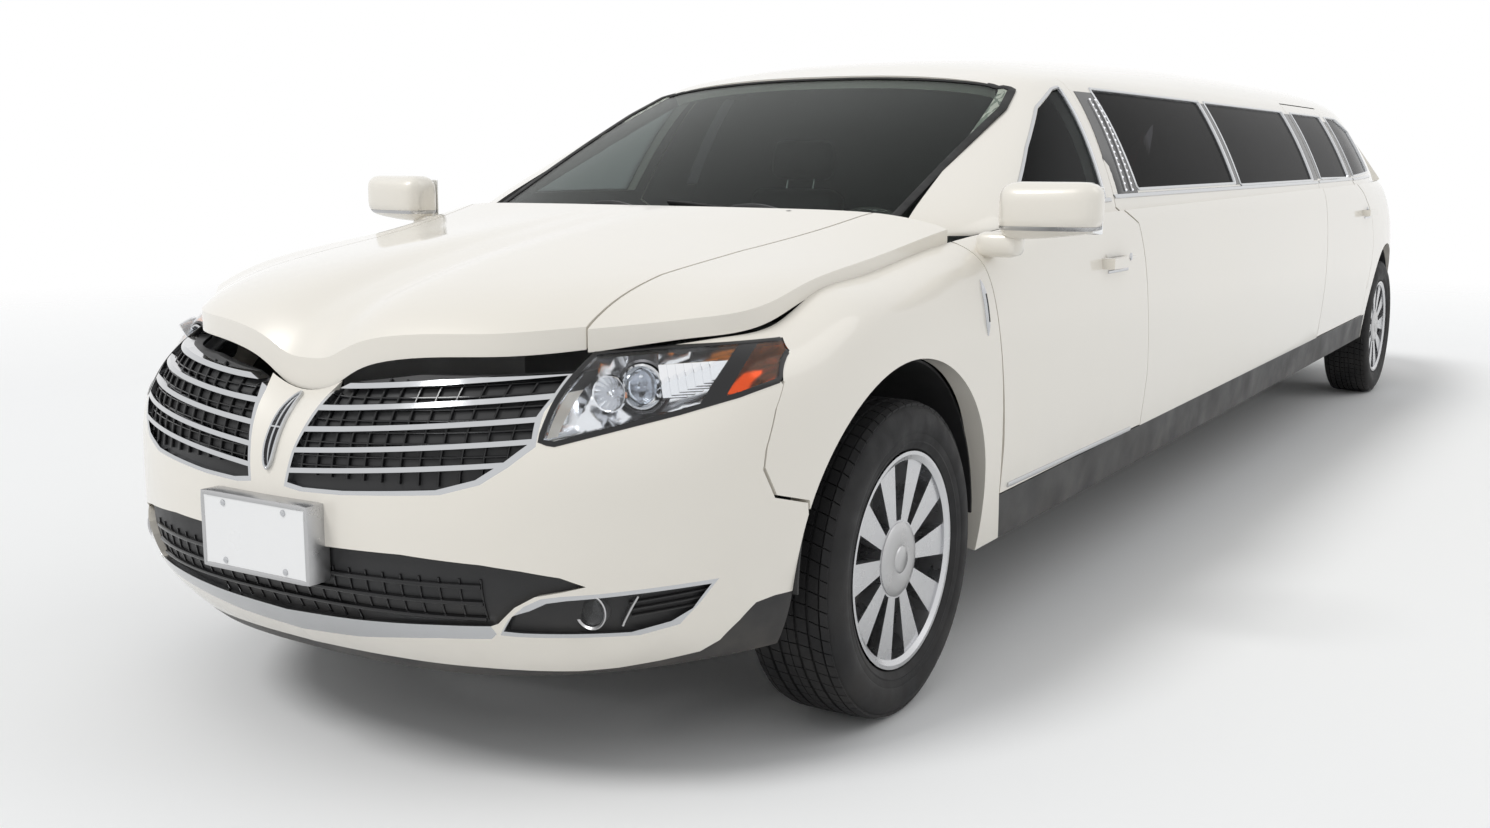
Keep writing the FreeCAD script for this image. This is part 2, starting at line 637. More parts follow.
def bandWindow(front, rear):
    return [(front, windowFloor), (front, 0.886), (rear, 0.886), (rear, windowFloor + 0.004)]


firstWindow = bandWindow(frontRear - 0.030 * base, middleX(0.486))
secondWindow = bandWindow(middleX(0.497), rearFront + 0.034 * base)
quarterWindow = placed([
    (rearRear, 0.106, 0.712), (rearRear, 0.118, 0.886), (rearRear, 0.010, 0.886),
    (tailX(-0.175), 0, 0.850), (tailX(-0.120), 0, 0.724),
])


def windowTool(outline):
    points = [(x, height * size.roofHeight) for x, height in outline]
    return sidePrism(points, half - 1.6 * cut, half + cut)


def grownOutline(outline, grow):
    """An outline moved outwards from its middle by a gap, for the opening round a panel."""
    centreZ = sum(point[1] for point in outline) / len(outline)
    return [(x, z + math.copysign(grow / size.roofHeight, z - centreZ), width, lean) for x, z, width, lean in outline]


skinLeft = lowerLeft.fuse(upperLeft)


def doorOpening(lower, upper):
    gap = size.panelGap
    opening = draftedPrism(grownOutline(lower, gap), gap)
    return opening.fuse(draftedPrism(grownOutline(upper, gap), gap))


frontDoorTool = draftedPrism(frontDoorLower, 0).fuse(draftedPrism(frontDoorUpper, 0))
rearDoorTool = draftedPrism(rearDoorLower, 0).fuse(draftedPrism(rearDoorUpper, 0))
frontDoor = firstSolids(skinLeft.common(frontDoorTool).cut(windowTool(frontWindow)))
rearDoor = firstSolids(skinLeft.common(rearDoorTool).cut(windowTool(rearWindow)))

# Seams of the lower body in the side view
gap = size.panelGap
bottom = size.claddingBottom
top = size.roofHeight + cut
claddingSeam = [(x, size.sillHeight + riseAt(x) - gap) for x in (frontSeam, rearRear)]


def wheelArch(axle, grow=0):
    centre = Vector(axle, inside - cut, wheelCentre + size.archLift)
    return Part.makeCylinder(size.archRadius + grow, outside + cut, centre, Vector(0, 1, 0))


frontArch = wheelArch(frontAxle)
rearArch = wheelArch(rearAxle)
bumperSeam = [(1.300, 0.812), (0.530, 0.800), (0.466, 0.772), (0.452, 0.745), (0.480, 0.703), (0.507, 0.633),
              (0.513, 0.597), (0.487, 0.543), (0.404, 0.522), (0.350, 0.100)]
bumperLine = [(noseX(x), z * belt) for x, z in bumperSeam]
noseEnd = noseX(1) + cut
frontZone = sidePrism(bumperLine + [(bumperLine[0][0], 0)], across, outside)
fenderLine = [(x - gap, z + gap) for x, z in bumperLine]
fenderZone = sidePrism(
    [(fenderLine[0][0], top)] + fenderLine + [(noseX(-0.2), 0), (frontSeam + gap - 0.090 * base, 0)]
    + [(frontSeam + gap - 0.047 * base, sillAt(frontSeam) * size.roofHeight),
       (frontSeam + gap - 0.024 * base, 0.470 * size.roofHeight),
       (frontSeam + gap, 0.655 * size.roofHeight), (frontSeam + gap, top)],
    across, outside)
# Tailgate seam in the rear view
gateSeam = [(0.000, 0.545), (0.560, 0.545), (0.640, 0.590), (0.700, 0.800), (0.690, 0.960), (0.640, 1.080),
            (0.560, 1.250), (0.500, 1.420), (0.000, 1.500)]


def rearPrism(outline, grow, low, high):
    points = []
    for y, z in outline:
        away = gap if grow and y > 0 else 0
        drop = gap if grow and z < 1 else 0
        points.append((y * half + away, z * belt + riseAt(rearAxle) - drop))
    points += [(-y, z) for y, z in points[::-1] if y > 0]
    return frontPrism(points, low, high)


gateHinge = tailX(gateHighShares[-1][0]) - gap
gateTool = rearPrism(gateSeam, False, tailX(1.2), gateHinge)
gateOpening = rearPrism(gateSeam, True, tailX(1.2), tailX(0.30))
rearBumperTop = 0.545 * belt + riseAt(rearAxle) - 2 * gap
rearBumperZone = boxBetween((tailX(1.2), -outside, 0), (tailX(0.335), outside, rearBumperTop))

# Openings of the front in the front view, left side
lampOutline = [(0.597, 0.806), (0.662, 0.812), (0.792, 0.819), (0.871, 0.823), (0.898, 0.802), (0.913, 0.753),
               (0.869, 0.732), (0.792, 0.707), (0.688, 0.679), (0.621, 0.661), (0.597, 0.668)]
grilleOutline = [(0.050, 0.562), (0.063, 0.625), (0.092, 0.718), (0.120, 0.770), (0.120, 0.870), (0.599, 0.870),
                 (0.599, 0.749), (0.589, 0.716), (0.595, 0.660), (0.555, 0.626), (0.507, 0.595), (0.431, 0.575),
                 (0.204, 0.560), (0.096, 0.557)]
lowerOutline = [(0.000, 0.462), (0.345, 0.465), (0.507, 0.455), (0.577, 0.445), (0.641, 0.432), (0.680, 0.414),
                (0.639, 0.405), (0.598, 0.398), (0.561, 0.378), (0.525, 0.346), (0.509, 0.340), (0.400, 0.336),
                (0.200, 0.325), (0.000, 0.317)]
stripOutline = [(0.000, 0.317), (0.200, 0.325), (0.400, 0.336), (0.509, 0.340), (0.514, 0.324), (0.500, 0.313),
                (0.390, 0.307), (0.300, 0.298), (0.180, 0.283), (0.000, 0.271)]
# What stays clear under the hood's front edge
hoodEdgeOutline = [(0.040, 0.700), (0.090, 0.722), (0.154, 0.747), (0.316, 0.768), (0.461, 0.770), (0.650, 0.776),
                   (0.650, 0.900), (0.040, 0.900)]
fogOutline = [(0.520, 0.322), (0.545, 0.354), (0.577, 0.380), (0.607, 0.394), (0.639, 0.398), (0.699, 0.400),
              (0.856, 0.409), (0.829, 0.366), (0.798, 0.329), (0.740, 0.314), (0.684, 0.316), (0.554, 0.319)]
lipOutline = [(0.000, 0.236), (0.241, 0.240), (0.425, 0.238), (0.605, 0.233), (0.667, 0.236), (0.732, 0.246),
              (0.797, 0.260), (0.833, 0.282), (0.869, 0.320), (0.893, 0.351), (0.913, 0.358), (1.050, 0.361),
              (1.050, 0.000), (0.000, 0.000)]


lampRearShare = 0.350


def insetOutline(points, depth):
    """A closed outline with each edge moved inwards by the depth."""
    count = len(points)
    area = sum(points[i - 1][0] * points[i][1] - points[i][0] * points[i - 1][1] for i in range(count))
    lines = []
    for i in range(count):
        (y0, z0), (y1, z1) = points[i - 1], points[i]
        length = math.hypot(y1 - y0, z1 - z0)
        ny, nz = -(z1 - z0) / length, (y1 - y0) / length
        move = math.copysign(depth, area)
        lines.append((y0 + ny * move, z0 + nz * move, y1 - y0, z1 - z0))
    inset = []
    for i in range(count):
        ay, az, uy, uz = lines[i]
        by, bz, vy, vz = lines[(i + 1) % count]
        share = ((by - ay) * vz - (bz - az) * vy) / (uy * vz - uz * vy)
        inset.append((ay + uy * share, az + uz * share))
    return inset


def frontTool(outline, shrink=0):
    centreY = sum(point[0] for point in outline) / len(outline)
    centreZ = sum(point[1] for point in outline) / len(outline)
    points = []
    for y, z in outline:
        dy = 0 if y == 0 else math.copysign(shrink, y - centreY)
        points.append((y * half - dy, z * belt - math.copysign(shrink, z - centreZ)))
    return frontPrism(points, noseX(lampRearShare), noseEnd)


def bothSides(shape):
    return Part.makeCompound([shape, mirrorY(shape)])


lowerSkin = lowerLeft
noseSkin = lowerSkin.common(frontZone)
lampCorners = insetOutline([(y * half, z * belt) for y, z in lampOutline], gap / 2)
lampTool = frontPrism(lampCorners, noseX(lampRearShare) + size.seatGap, noseEnd)
lampShape = firstSolids(lowerSkin.common(lampTool))
bumperLeft = noseSkin.cut(frontArch)
for outline in (lampOutline, grilleOutline, lowerOutline, stripOutline, fogOutline):
    bumperLeft = bumperLeft.cut(frontTool(outline))
lipTool = frontTool(lipOutline)
lipLeft = firstSolids(bumperLeft.common(lipTool))
bumperLeft = firstSolids(bumperLeft.cut(lipTool))
fenderLow = lowerSkin.common(fenderZone).cut(frontTool(lampOutline)).cut(frontArch)
fenderLeft = firstSolids(fenderLow)
frontBumper = bumperLeft.fuse(mirrorY(bumperLeft))
frontLip = lipLeft.fuse(mirrorY(lipLeft))


# Body side: everything behind the fender seam
roofSeam = 0.62 * half
roofZone = boxBetween((tailX(0.6), -roofSeam, size.beltHeight), (frontAxle, roofSeam, top))
sideZone = boxBetween((tailX(1.2), 0, 0), (frontSeam + gap, outside, top))
claddingZone = sidePrism(
    [(frontSeam + gap, 0), (rearRear, 0), (rearRear, claddingSeam[1][1]), (frontSeam + gap, claddingSeam[0][1])],
    across, outside)
cladding = firstSolids(
    lowerSkin.common(claddingZone).cut(frontArch).cut(rearArch).cut(fenderZone))
openings = Part.makeCompound([windowTool(w) for w in (firstWindow, secondWindow, quarterWindow)])
bodyLeft = skinLeft.fuse(gateSlab.common(sideZone)).common(sideZone)
for tool in (doorOpening(frontDoorLower, frontDoorUpper), doorOpening(rearDoorLower, rearDoorUpper), openings,
             rearArch, fenderZone, claddingZone, rearBumperZone, gateOpening, roofZone):
    bodyLeft = bodyLeft.cut(tool)
bodyLeft = firstSolids(bodyLeft.cut(hoodInside), 0.001)
roofLeft = upperLeft.common(boxBetween((tailX(0.6), 0, size.beltHeight), (frontAxle, roofSeam, top)))
roofShape = roofLeft.fuse(mirrorY(roofLeft))
rearLeft = lowerSkin.common(rearBumperZone).cut(rearArch)
rearBumper = rearLeft.fuse(mirrorY(rearLeft))
gateLower = lowerSkin.fuse(mirrorY(lowerSkin)).common(gateTool)
gateUpper = gateSlab.common(gateTool)
gateWindowShares = [(0.560, 1.080), (0.450, 1.390)]
gateWindow = frontPrism(
    [(y * half, z * belt) for y, z in gateWindowShares] + [(-y * half, z * belt) for y, z in gateWindowShares[::-1]],
    tailX(1.2), tailX(0.30))
tailgate = gateLower.fuse(gateUpper).cut(gateWindow)
gateGlass = gateSlab.common(gateWindow)

# Glass of the sides: the upper surface again, sunk below the skin and as thin as the glass
glassOuter = insetGrid(upperOuter, [size.glassInset] * len(upperOuter), onMiddle=("top",))
glassInner = insetGrid(upperOuter, [size.glassInset + size.glassWall] * len(upperOuter), onMiddle=("top",))
glassSkin = slab(glassOuter, glassInner)
frontGlass = glassSkin.common(windowTool(frontWindow))
rearGlass = glassSkin.common(windowTool(rearWindow))
fixedGlass = glassSkin.common(openings)
gateGlassOuter = insetGrid(gateOuter, [-size.glassInset] * len(gateOuter))
gateGlassInner = insetGrid(gateOuter, [-size.glassInset - size.glassWall] * len(gateOuter))
gateGlass = slab(gateGlassOuter, gateGlassInner).common(gateWindow)
frontDoorSpace = doorOpening(frontDoorLower, frontDoorUpper)
windscreen = screenSlab.cut(Part.makeCompound([bodyLeft, mirrorY(bodyLeft), roofShape, hoodSlab]))
windscreen = largestSolid(windscreen.cut(frontDoorSpace).cut(mirrorY(frontDoorSpace)))

# Grille wings, lower grille and fog lamps: plates set back in the bumper's openings, with bars
noseInsetDepth = 0.35 * size.noseWall
noseDepths = [noseInsetDepth] * len(lowerOuter)
recessOuter = insetGrid(lowerOuter, noseDepths, onMiddle=(0, lastColumn))
recessSkin = slab(recessOuter, lowerInner)


def grilleBars():
    """Level bars that rise outwards, from the middle plane to the outer end of a wing."""
    bars = []
    for k in range(int(size.grilleBarCount)):
        low = size.grilleBarLow + k * size.grilleBarPitch
        rise = barRiseShare * half
        outline = [(0, low), (half, low + rise), (half, low + rise + size.grilleBarHeight), (0, low + size.grilleBarHeight)]
        bars.append(frontPrism(outline, noseX(0.350), noseEnd))
    return Part.makeCompound(bars)


def brightFrame(outline):
    """What of the skin lies between an opening's outline and the same outline drawn in."""
    return frontTool(outline).cut(frontTool(outline, size.frameWidth))


barRiseShare = 0.090
grilleTool = frontTool(grilleOutline).cut(frontTool(hoodEdgeOutline))
grilleWing = firstSolids(recessSkin.common(grilleTool))
barSkin = lowerSkin.common(grilleTool).cut(recessSkin)
barTool = grilleBars()
for piece in brightFrame(grilleOutline).Solids:
    barTool = barTool.fuse(piece)
brightBars = firstSolids(barSkin.common(barTool))
lowerGrilleLeft = recessSkin.common(frontTool(lowerOutline))
lowerGrille = lowerGrilleLeft.fuse(mirrorY(lowerGrilleLeft))
fogTool = frontTool(fogOutline)
fogPocket = recessSkin.common(fogTool)
fogFrame = firstSolids(lowerSkin.common(fogTool).cut(recessSkin).common(brightFrame(fogOutline)))
stripLeft = lowerSkin.common(frontTool(stripOutline))
bumperStrip = stripLeft.fuse(mirrorY(stripLeft))

# Tail lamps: the upper corners of the tail, cut from the body and the tailgate

# Wheels
beadRadius = size.rimDiameter / 2
tyreRadius = size.tyreDiameter / 2
# Shares for places inside the vehicle
toeShare = 0.170
riserShares = (0.200, 0.150)
loadEndShare = 0.900
cowlShare = 0.955
cowlWidthShare = 0.700
cowlLowShare = 0.890
cowlTopShare = 0.925
linerWidthShare = 0.940
engineGap = 0.05
mufflerShare = 0.28
tailPipeShare = 0.86
dashWidthShare = 0.835
cabinHalfShare = 0.872
seatBackShare = 0.45
wheelBackShare = 0.58
steeringSides = 6
floorEdgeShare = 0.868
wiperShares = [((0.16, 0.010), (0.47, 0.080)), ((0.50, 0.010), (0.84, 0.090))]
# Half sections of the tyre: share of the side wall's height, share of the half width
tyreShares = [(0.00, 0.80), (0.42, 1.00), (0.90, 0.89), (1.00, 0.74)]


def ring(points, centre):
    """A closed outline of (radius, offset) turned about the wheel's axis through a centre."""
    face = polygonFace([Vector(centre.x + radius, centre.y + offset, centre.z) for radius, offset in points])
    return face.revolve(centre, Vector(0, 1, 0), 360)


def makeTyre(centre):
    wall = tyreRadius - beadRadius
    right = [(beadRadius + up * wall, out * size.tyreWidth / 2) for up, out in tyreShares]
    left = [(radius, -offset) for radius, offset in right[::-1]]
    return ring(right + left, centre)


# Barrel section: share of the rim's half width, step below the bead seat in flange heights
barrelShares = [(1.00, -1.0), (0.93, 0.0), (-0.93, 0.0), (-1.00, -1.0)]


def makeRim(centre, outward):
    """Rim, spokes, hub and centre cap; outward is 1 on the left side and -1 on the right."""
    outer = []
    inner = []
    for along, step in barrelShares:
        radius = beadRadius - step * size.rimFlange
        offset = outward * along * size.rimWidth / 2
        outer.append((radius - size.seatGap, offset))
        inner.append((radius - size.rimWall, offset))
    rim = ring(outer + inner[::-1], centre)
    face = outward * size.rimWidth / 2
    hubOuter = face - outward * size.spokeThickness / 2
    hubInner = hubOuter - outward * size.hubDepth
    hub = ring([(size.boreRadius, hubInner), (size.hubRadius, hubInner), (size.hubRadius, hubOuter),
                (size.boreRadius, hubOuter)], centre)
    rim = rim.fuse(hub)
    barrelRadius = beadRadius - size.rimWall
    wide = size.spokeWidth
    narrow = wide * spokeRootShare
    for k in range(int(size.spokeCount)):
        low = Vector(centre.x + size.hubRadius * hubBiteShare, centre.y + hubOuter, centre.z)
        high = Vector(centre.x + barrelRadius + size.rimWall / 2, centre.y + face - outward * size.rimFlange, centre.z)
        sections = []
        for place, width in ((low, narrow), (high, wide)):
            depth = -outward * size.spokeThickness
            corners = [place + Vector(0, 0, -width / 2), place + Vector(0, 0, width / 2),
                       place + Vector(0, depth, width / 2), place + Vector(0, depth, -width / 2)]
            sections.append(Part.makePolygon(corners + corners[:1]))
        spoke = Part.makeLoft(sections, True, True)
        spoke.rotate(centre, Vector(0, 1, 0), 360 * k / size.spokeCount)
        rim = rim.fuse(spoke)
    return rim


spokeRootShare = 0.42
hubBiteShare = 0.9
wheelPlaces = {
    "front_left": Vector(frontAxle, wheelMiddle, wheelCentre),
    "front_right": Vector(frontAxle, -wheelMiddle, wheelCentre),
    "rear_left": Vector(rearAxle, wheelMiddle, wheelCentre),
    "rear_right": Vector(rearAxle, -wheelMiddle, wheelCentre),
}
leftTyre = makeTyre(wheelPlaces["front_left"])
leftRim = makeRim(wheelPlaces["front_left"], 1)
for corner, centre in wheelPlaces.items():
    for kind, shape in (("tyre_", leftTyre), ("rim_", leftRim)):
        placed = shape.copy() if centre.y > 0 else mirrorY(shape)
        placed.translate(Vector(centre.x - frontAxle, 0, 0))
        addFeature(kind + corner, placed)

# Spindles and knuckles of the front wheels; the kingpin stands on the steering axis
spindleRadius = size.boreRadius - size.boreClearance
hubOuterOffset = size.rimWidth / 2 - size.spokeThickness / 2
hubInnerOffset = hubOuterOffset - size.hubDepth
kingpin = wheelMiddle - size.kingpinInset


def spindle(centre, outward, length):
    start = centre + Vector(0, outward * (hubOuterOffset - length), 0)
    return Part.makeCylinder(spindleRadius, length - size.boreClearance, start, Vector(0, outward, 0))


def makeKnuckle():
    centre = wheelPlaces["front_left"]
    reach = hubOuterOffset + size.kingpinInset
    shaft = spindle(centre, 1, reach)
    flange = Part.makeCylinder(size.hubRadius, size.knuckleDepth,
                               centre + Vector(0, hubInnerOffset - size.seatGap - size.knuckleDepth, 0), Vector(0, 1, 0))
    upright = boxBetween(
        (centre.x - size.knuckleDepth, kingpin - size.knuckleDepth, size.armHeight + size.armThickness + size.seatGap),
        (centre.x + size.knuckleDepth, kingpin + size.knuckleDepth, size.upperArmHeight - size.seatGap))
    return shaft.fuse([flange, upright])


knuckle = makeKnuckle()
addFeature("knuckle_left", knuckle)
addFeature("knuckle_right", mirrorY(knuckle))

# Front suspension: subframe, lower arms and strut towers
armLow = size.armHeight
subframe = boxBetween((frontAxle - size.armLength / 2, -size.railOffset, armLow),
                      (frontAxle + size.armLength / 2, size.railOffset, armLow + size.armThickness))
armOuter = [(frontAxle - size.armLength / 2, size.railOffset), (frontAxle + size.armLength / 2, size.railOffset),
            (frontAxle + size.knuckleDepth, kingpin + size.knuckleDepth), (frontAxle - size.knuckleDepth, kingpin + size.knuckleDepth)]
arm = planPrism(armOuter, armLow, armLow + size.armThickness)
feet = [boxBetween((frontAxle - size.railWidth / 2, side * size.railOffset - size.railWidth / 2, armLow),
                   (frontAxle + size.railWidth / 2, side * size.railOffset + size.railWidth / 2, size.railBottom))
        for side in (-1, 1)]
upperLow = size.upperArmHeight
wallOuter = size.railOffset + size.railWidth / 2 - size.armThickness
upperOutline = [(frontAxle - size.towerWidth / 3, wallOuter), (frontAxle + size.towerWidth / 3, wallOuter),
                (frontAxle + size.knuckleDepth, kingpin + size.knuckleDepth),
                (frontAxle - size.knuckleDepth, kingpin + size.knuckleDepth)]
upperArm = planPrism(upperOutline, upperLow, upperLow + size.armThickness)
strutFoot = upperLow + size.armThickness
strut = Part.makeCylinder(size.strutRadius, size.towerHeight - strutFoot, Vector(frontAxle, kingpin - size.strutInset, strutFoot))
upperParts = upperArm.fuse(strut)
suspension = Part.makeCompound([subframe.fuse([arm, mirrorY(arm)] + feet), upperParts, mirrorY(upperParts)])
addFeature("front_suspension", suspension)

# Chassis rails with their rise over the rear axle, cross members and strut towers
railTop = size.railBottom + size.railHeight
kick = size.kickHeight
floorTop = size.floorHeight
thick = size.floorThickness
toeBoard = behindFront(toeShare)
riserLow = aheadRear(riserShares[0])
riserHigh = aheadRear(riserShares[1])
railLine = [(noseX(0.72), 0), (riserLow - thick / 2, 0), (riserHigh - thick / 2, kick), (tailX(0.88), kick)]
railProfile = [(x, size.railBottom + up) for x, up in railLine]
railProfile += [(x, railTop + up) for x, up in railLine[::-1]]
railProfile[-2] = (railProfile[-2][0] - size.railHeight / 2, railProfile[-2][1])
rail = sidePrism(railProfile, size.railOffset - size.railWidth / 2, size.railOffset + size.railWidth / 2)
members = [
    boxBetween((x - size.railWidth / 2, -size.railOffset, railTop - size.crossHeight + up),
               (x + size.railWidth / 2, size.railOffset, railTop + up))
    for x, up in ((noseX(0.66), 0), (noseX(0.25), 0), (noseX(-0.18), 0), (behindFront(0.40), 0), (middleX(0.36), 0),
                  (middleX(0.52), 0), (middleX(0.68), 0), (aheadRear(0.30), 0), (aheadRear(0.10), kick),
                  (tailX(0.45), kick), (tailX(0.82), kick))]
towerLow = Vector(frontAxle, kingpin, size.towerHeight)
tower = boxBetween((frontAxle - size.towerWidth / 2, size.railOffset - size.railWidth / 2, size.towerHeight),
                   (frontAxle + size.towerWidth / 2, kingpin, size.towerHeight + size.armThickness))
towerWall = boxBetween((frontAxle - size.towerWidth / 2, size.railOffset - size.railWidth / 2, railTop),
                       (frontAxle + size.towerWidth / 2, size.railOffset + size.railWidth / 2 - size.armThickness, size.towerHeight))
jackPads = [
    boxBetween((-size.jackPadLength / 2, side * size.railOffset - size.railWidth / 2, size.railBottom - size.jackPadDrop),
               (size.jackPadLength / 2, side * size.railOffset + size.railWidth / 2, size.railBottom))
    for side in (-1, 1)]
chassis = rail.fuse([mirrorY(rail), tower, towerWall, mirrorY(tower), mirrorY(towerWall)] + members + jackPads)
addFeature("chassis_frame", chassis)

# Engine: one plain block on the cross members
engineX = noseX(0.22)
subParts.append(addPrimitive(
    "Part::Box", "engine_block", (engineX - size.engineLength / 2, -size.engineWidth / 2, railTop),
    expressions={"Length": "Sizes.engineLength", "Width": "Sizes.engineWidth", "Height": "Sizes.engineHeight"}))

# Rear axle: differential, half shafts and the lower arms under the rails
axleHalf = wheelMiddle + hubInnerOffset - size.seatGap
spindleHalf = wheelMiddle + hubOuterOffset - size.boreClearance
along = Vector(0, 1, 0)
axleParts = [
    addPrimitive("Part::Cylinder", "axleShaft", (rearAxle, -axleHalf, wheelCentre), along,
                 {"Radius": "Sizes.axleRadius"}, {"Height": 2 * axleHalf}),
    addPrimitive("Part::Cylinder", "axleSpindle", (rearAxle, -spindleHalf, wheelCentre), along,
                 {"Radius": "Sizes.boreRadius - Sizes.boreClearance"}, {"Height": 2 * spindleHalf}),
    addPrimitive("Part::Sphere", "differential", (rearAxle, 0, wheelCentre), None,
                 {"Radius": "Sizes.differentialRadius"}),
]
for word, side in (("Left", 1), ("Right", -1)):
    axleParts.append(addPrimitive(
        "Part::Box", "axleHanger" + word,
        (rearAxle - size.railWidth / 2, side * size.railOffset - size.railWidth / 2, wheelCentre), None,
        {"Length": "Sizes.railWidth", "Width": "Sizes.railWidth"}, {"Height": size.railBottom + kick - wheelCentre}))
addFusion("rear_axle", axleParts)
doc.recompute()


# Floor pan: toe board, cabin floor, riser before the rear axle and load floor, in one folded sheet
floorLine = [(toeBoard, cowlShare * belt), (toeBoard, floorTop), (riserLow, floorTop), (riserHigh, floorTop + kick),
             (tailX(loadEndShare), floorTop + kick)]
under = [(toeBoard + thick, cowlShare * belt), (toeBoard + thick, floorTop - thick), (riserLow - thick / 2, floorTop - thick),
         (riserHigh - thick / 2, floorTop + kick - thick), (tailX(loadEndShare), floorTop + kick - thick)]
wallMiddle = half - size.doorWall / 2
floorPan = sidePrism(floorLine + under[::-1], -wallMiddle, wallMiddle)
for rear, front in ((frontRear, frontSeam), (rearRear, rearFront)):
    for side in (-1, 1):
        edges = sorted((side * floorEdgeShare * half, side * outside))
        floorPan = floorPan.cut(boxBetween((rear - 4 * gap, edges[0], 0), (front + 4 * gap, edges[1], top)))
wheelInner = wheelMiddle - size.tyreWidth
for axle in (frontAxle, rearAxle):
    for side in (-1, 1):
        housing = Part.makeCylinder(size.archRadius, outside, Vector(axle, side * wheelInner, wheelCentre + size.archLift),
                                    Vector(0, side, 0))
        floorPan = floorPan.cut(housing)
walls = Part.makeCompound([lowerLeft, mirrorY(lowerLeft)])
floorPan = largestSolid(floorPan.cut(walls))
addFeature("floor_pan", floorPan)

# Cowl tray between hood and windscreen
cowlTray = boxBetween((toeBoard + thick + size.seatGap, -cowlWidthShare * half, cowlLowShare * belt),
                      (behindFront(0.070), cowlWidthShare * half, cowlTopShare * belt))
addFeature("cowl", cowlTray)

# Wheel arch liners
linerRadius = size.archRadius - size.seatGap


def makeLiner(axle):
    centre = Vector(axle, wheelInner, wheelCentre + size.archLift)
    length = linerWidthShare * half - wheelInner
    shell = Part.makeCylinder(linerRadius, length, centre, Vector(0, 1, 0))
    shell = shell.cut(Part.makeCylinder(linerRadius - size.linerWall, length, centre, Vector(0, 1, 0)))
    shell = shell.common(boxBetween((axle - cut * 2, 0, centre.z), (axle + cut * 2, outside, top)))
    hole = Part.makeCylinder(size.strutRadius + size.linerWall, size.towerHeight, Vector(axle, kingpin - size.strutInset, 0))
    return shell.cut(hole)


liners = [makeLiner(frontAxle), makeLiner(rearAxle)]
addFeature("wheel_liners", Part.makeCompound(liners + [mirrorY(liner) for liner in liners]))

# Dashboard, steering wheel, seats, partition and bar
dashLine = [(toeBoard, cowlShare * belt), (toeBoard - size.dashDepth, 0.915 * belt),
            (toeBoard - 1.05 * size.dashDepth, 0.850 * belt), (toeBoard - 0.95 * size.dashDepth, 0.720 * belt),
            (toeBoard - 0.60 * size.dashDepth, 0.620 * belt), (toeBoard, 0.620 * belt)]
dashHalf = dashWidthShare * half
addFeature("dashboard", sidePrism(dashLine, -dashHalf, dashHalf))
steerCentre = Vector(toeBoard - size.dashDepth - wheelBackShare * size.steeringRadius, size.driverOffset, 0.860 * belt)
steerAxis = Vector(-math.cos(math.radians(size.columnTilt)), 0, math.sin(math.radians(size.columnTilt)))
rimCorners = []
for turn in range(steeringSides):
    angle = 2 * math.pi * turn / steeringSides
    rimCorners.append((size.steeringRadius + size.steeringRim * math.cos(angle), size.steeringRim * math.sin(angle)))
steeringRing = ring(rimCorners, Vector(0, 0, 0))
steeringRing.Placement = FreeCAD.Placement(steerCentre, FreeCAD.Rotation(Vector(0, 1, 0), steerAxis))
columnLength = size.steeringRadius * 1.25
column = Part.makeCylinder(size.steeringRim * 2, columnLength, steerCentre - steerAxis * columnLength, steerAxis)
spoke = Part.makeCylinder(size.steeringRim * 0.8, 2 * size.steeringRadius, steerCentre - Vector(0, size.steeringRadius, 0), Vector(0, 1, 0))
steering = steeringRing.fuse([column, spoke])
addFeature("steering_wheel", firstSolids(steering.cut(sidePrism(dashLine, -dashHalf, dashHalf))))


def makeSeat(front, middle):
    """A front seat: runner box, cushion, back and headrest; front is the cushion's foremost place."""
    width = size.seatWidth / 2
    low = floorTop
    runner = boxBetween((front - size.seatDepth, middle - width * 0.7, low), (front, middle + width * 0.7, low + size.seatRunner))
    cushion = boxBetween((front - size.seatDepth, middle - width, low + size.seatRunner),
                         (front, middle + width, low + size.seatRunner + size.cushionHeight))
    hip = front - size.seatDepth
    seatTop = low + size.seatRunner + size.cushionHeight
    lean = size.backHeight * math.tan(math.radians(size.backAngle))
    back = sidePrism([(hip, low + size.seatRunner), (hip - size.backDepth, low + size.seatRunner),
                      (hip - size.backDepth - lean, seatTop + size.backHeight), (hip - lean, seatTop + size.backHeight)],
                     middle - width, middle + width)
    rest = boxBetween((hip - size.backDepth - lean, middle - width / 2, seatTop + size.backHeight),
                      (hip - lean, middle + width / 2, seatTop + size.backHeight + size.headRest))
    return runner.fuse([cushion, back, rest])


frontSeatX = steerCentre.x - size.steeringRadius * seatBackShare
seat = makeSeat(frontSeatX, size.driverOffset)
addFeature("front_seats", bothSides(seat))
partitionX = frontRear - 0.055 * base
partition = boxBetween((partitionX - size.partitionWall, -wallMiddle, floorTop),
                       (partitionX, wallMiddle, size.eaveHeight + 2 * cut))
partition = partition.cut(skinLeft).cut(mirrorY(skinLeft))
partition = largestSolid(partition)
addFeature("partition", partition.cut(floorPan))
benchFront = partitionX - size.partitionWall - 0.15 * base
benchRear = rearFront + size.backDepth
benchOuter = cabinHalfShare * half
bench = boxBetween((benchRear, -benchOuter, floorTop), (benchFront, -benchOuter + size.benchWidth, floorTop + size.seatRunner + size.cushionHeight))
benchBack = boxBetween((benchRear, -benchOuter, floorTop + size.seatRunner + size.cushionHeight),
                       (benchFront, -benchOuter + size.backDepth * 0.75, floorTop + size.seatRunner + size.cushionHeight + size.backHeight * 0.55))
rearBenchX = riserLow
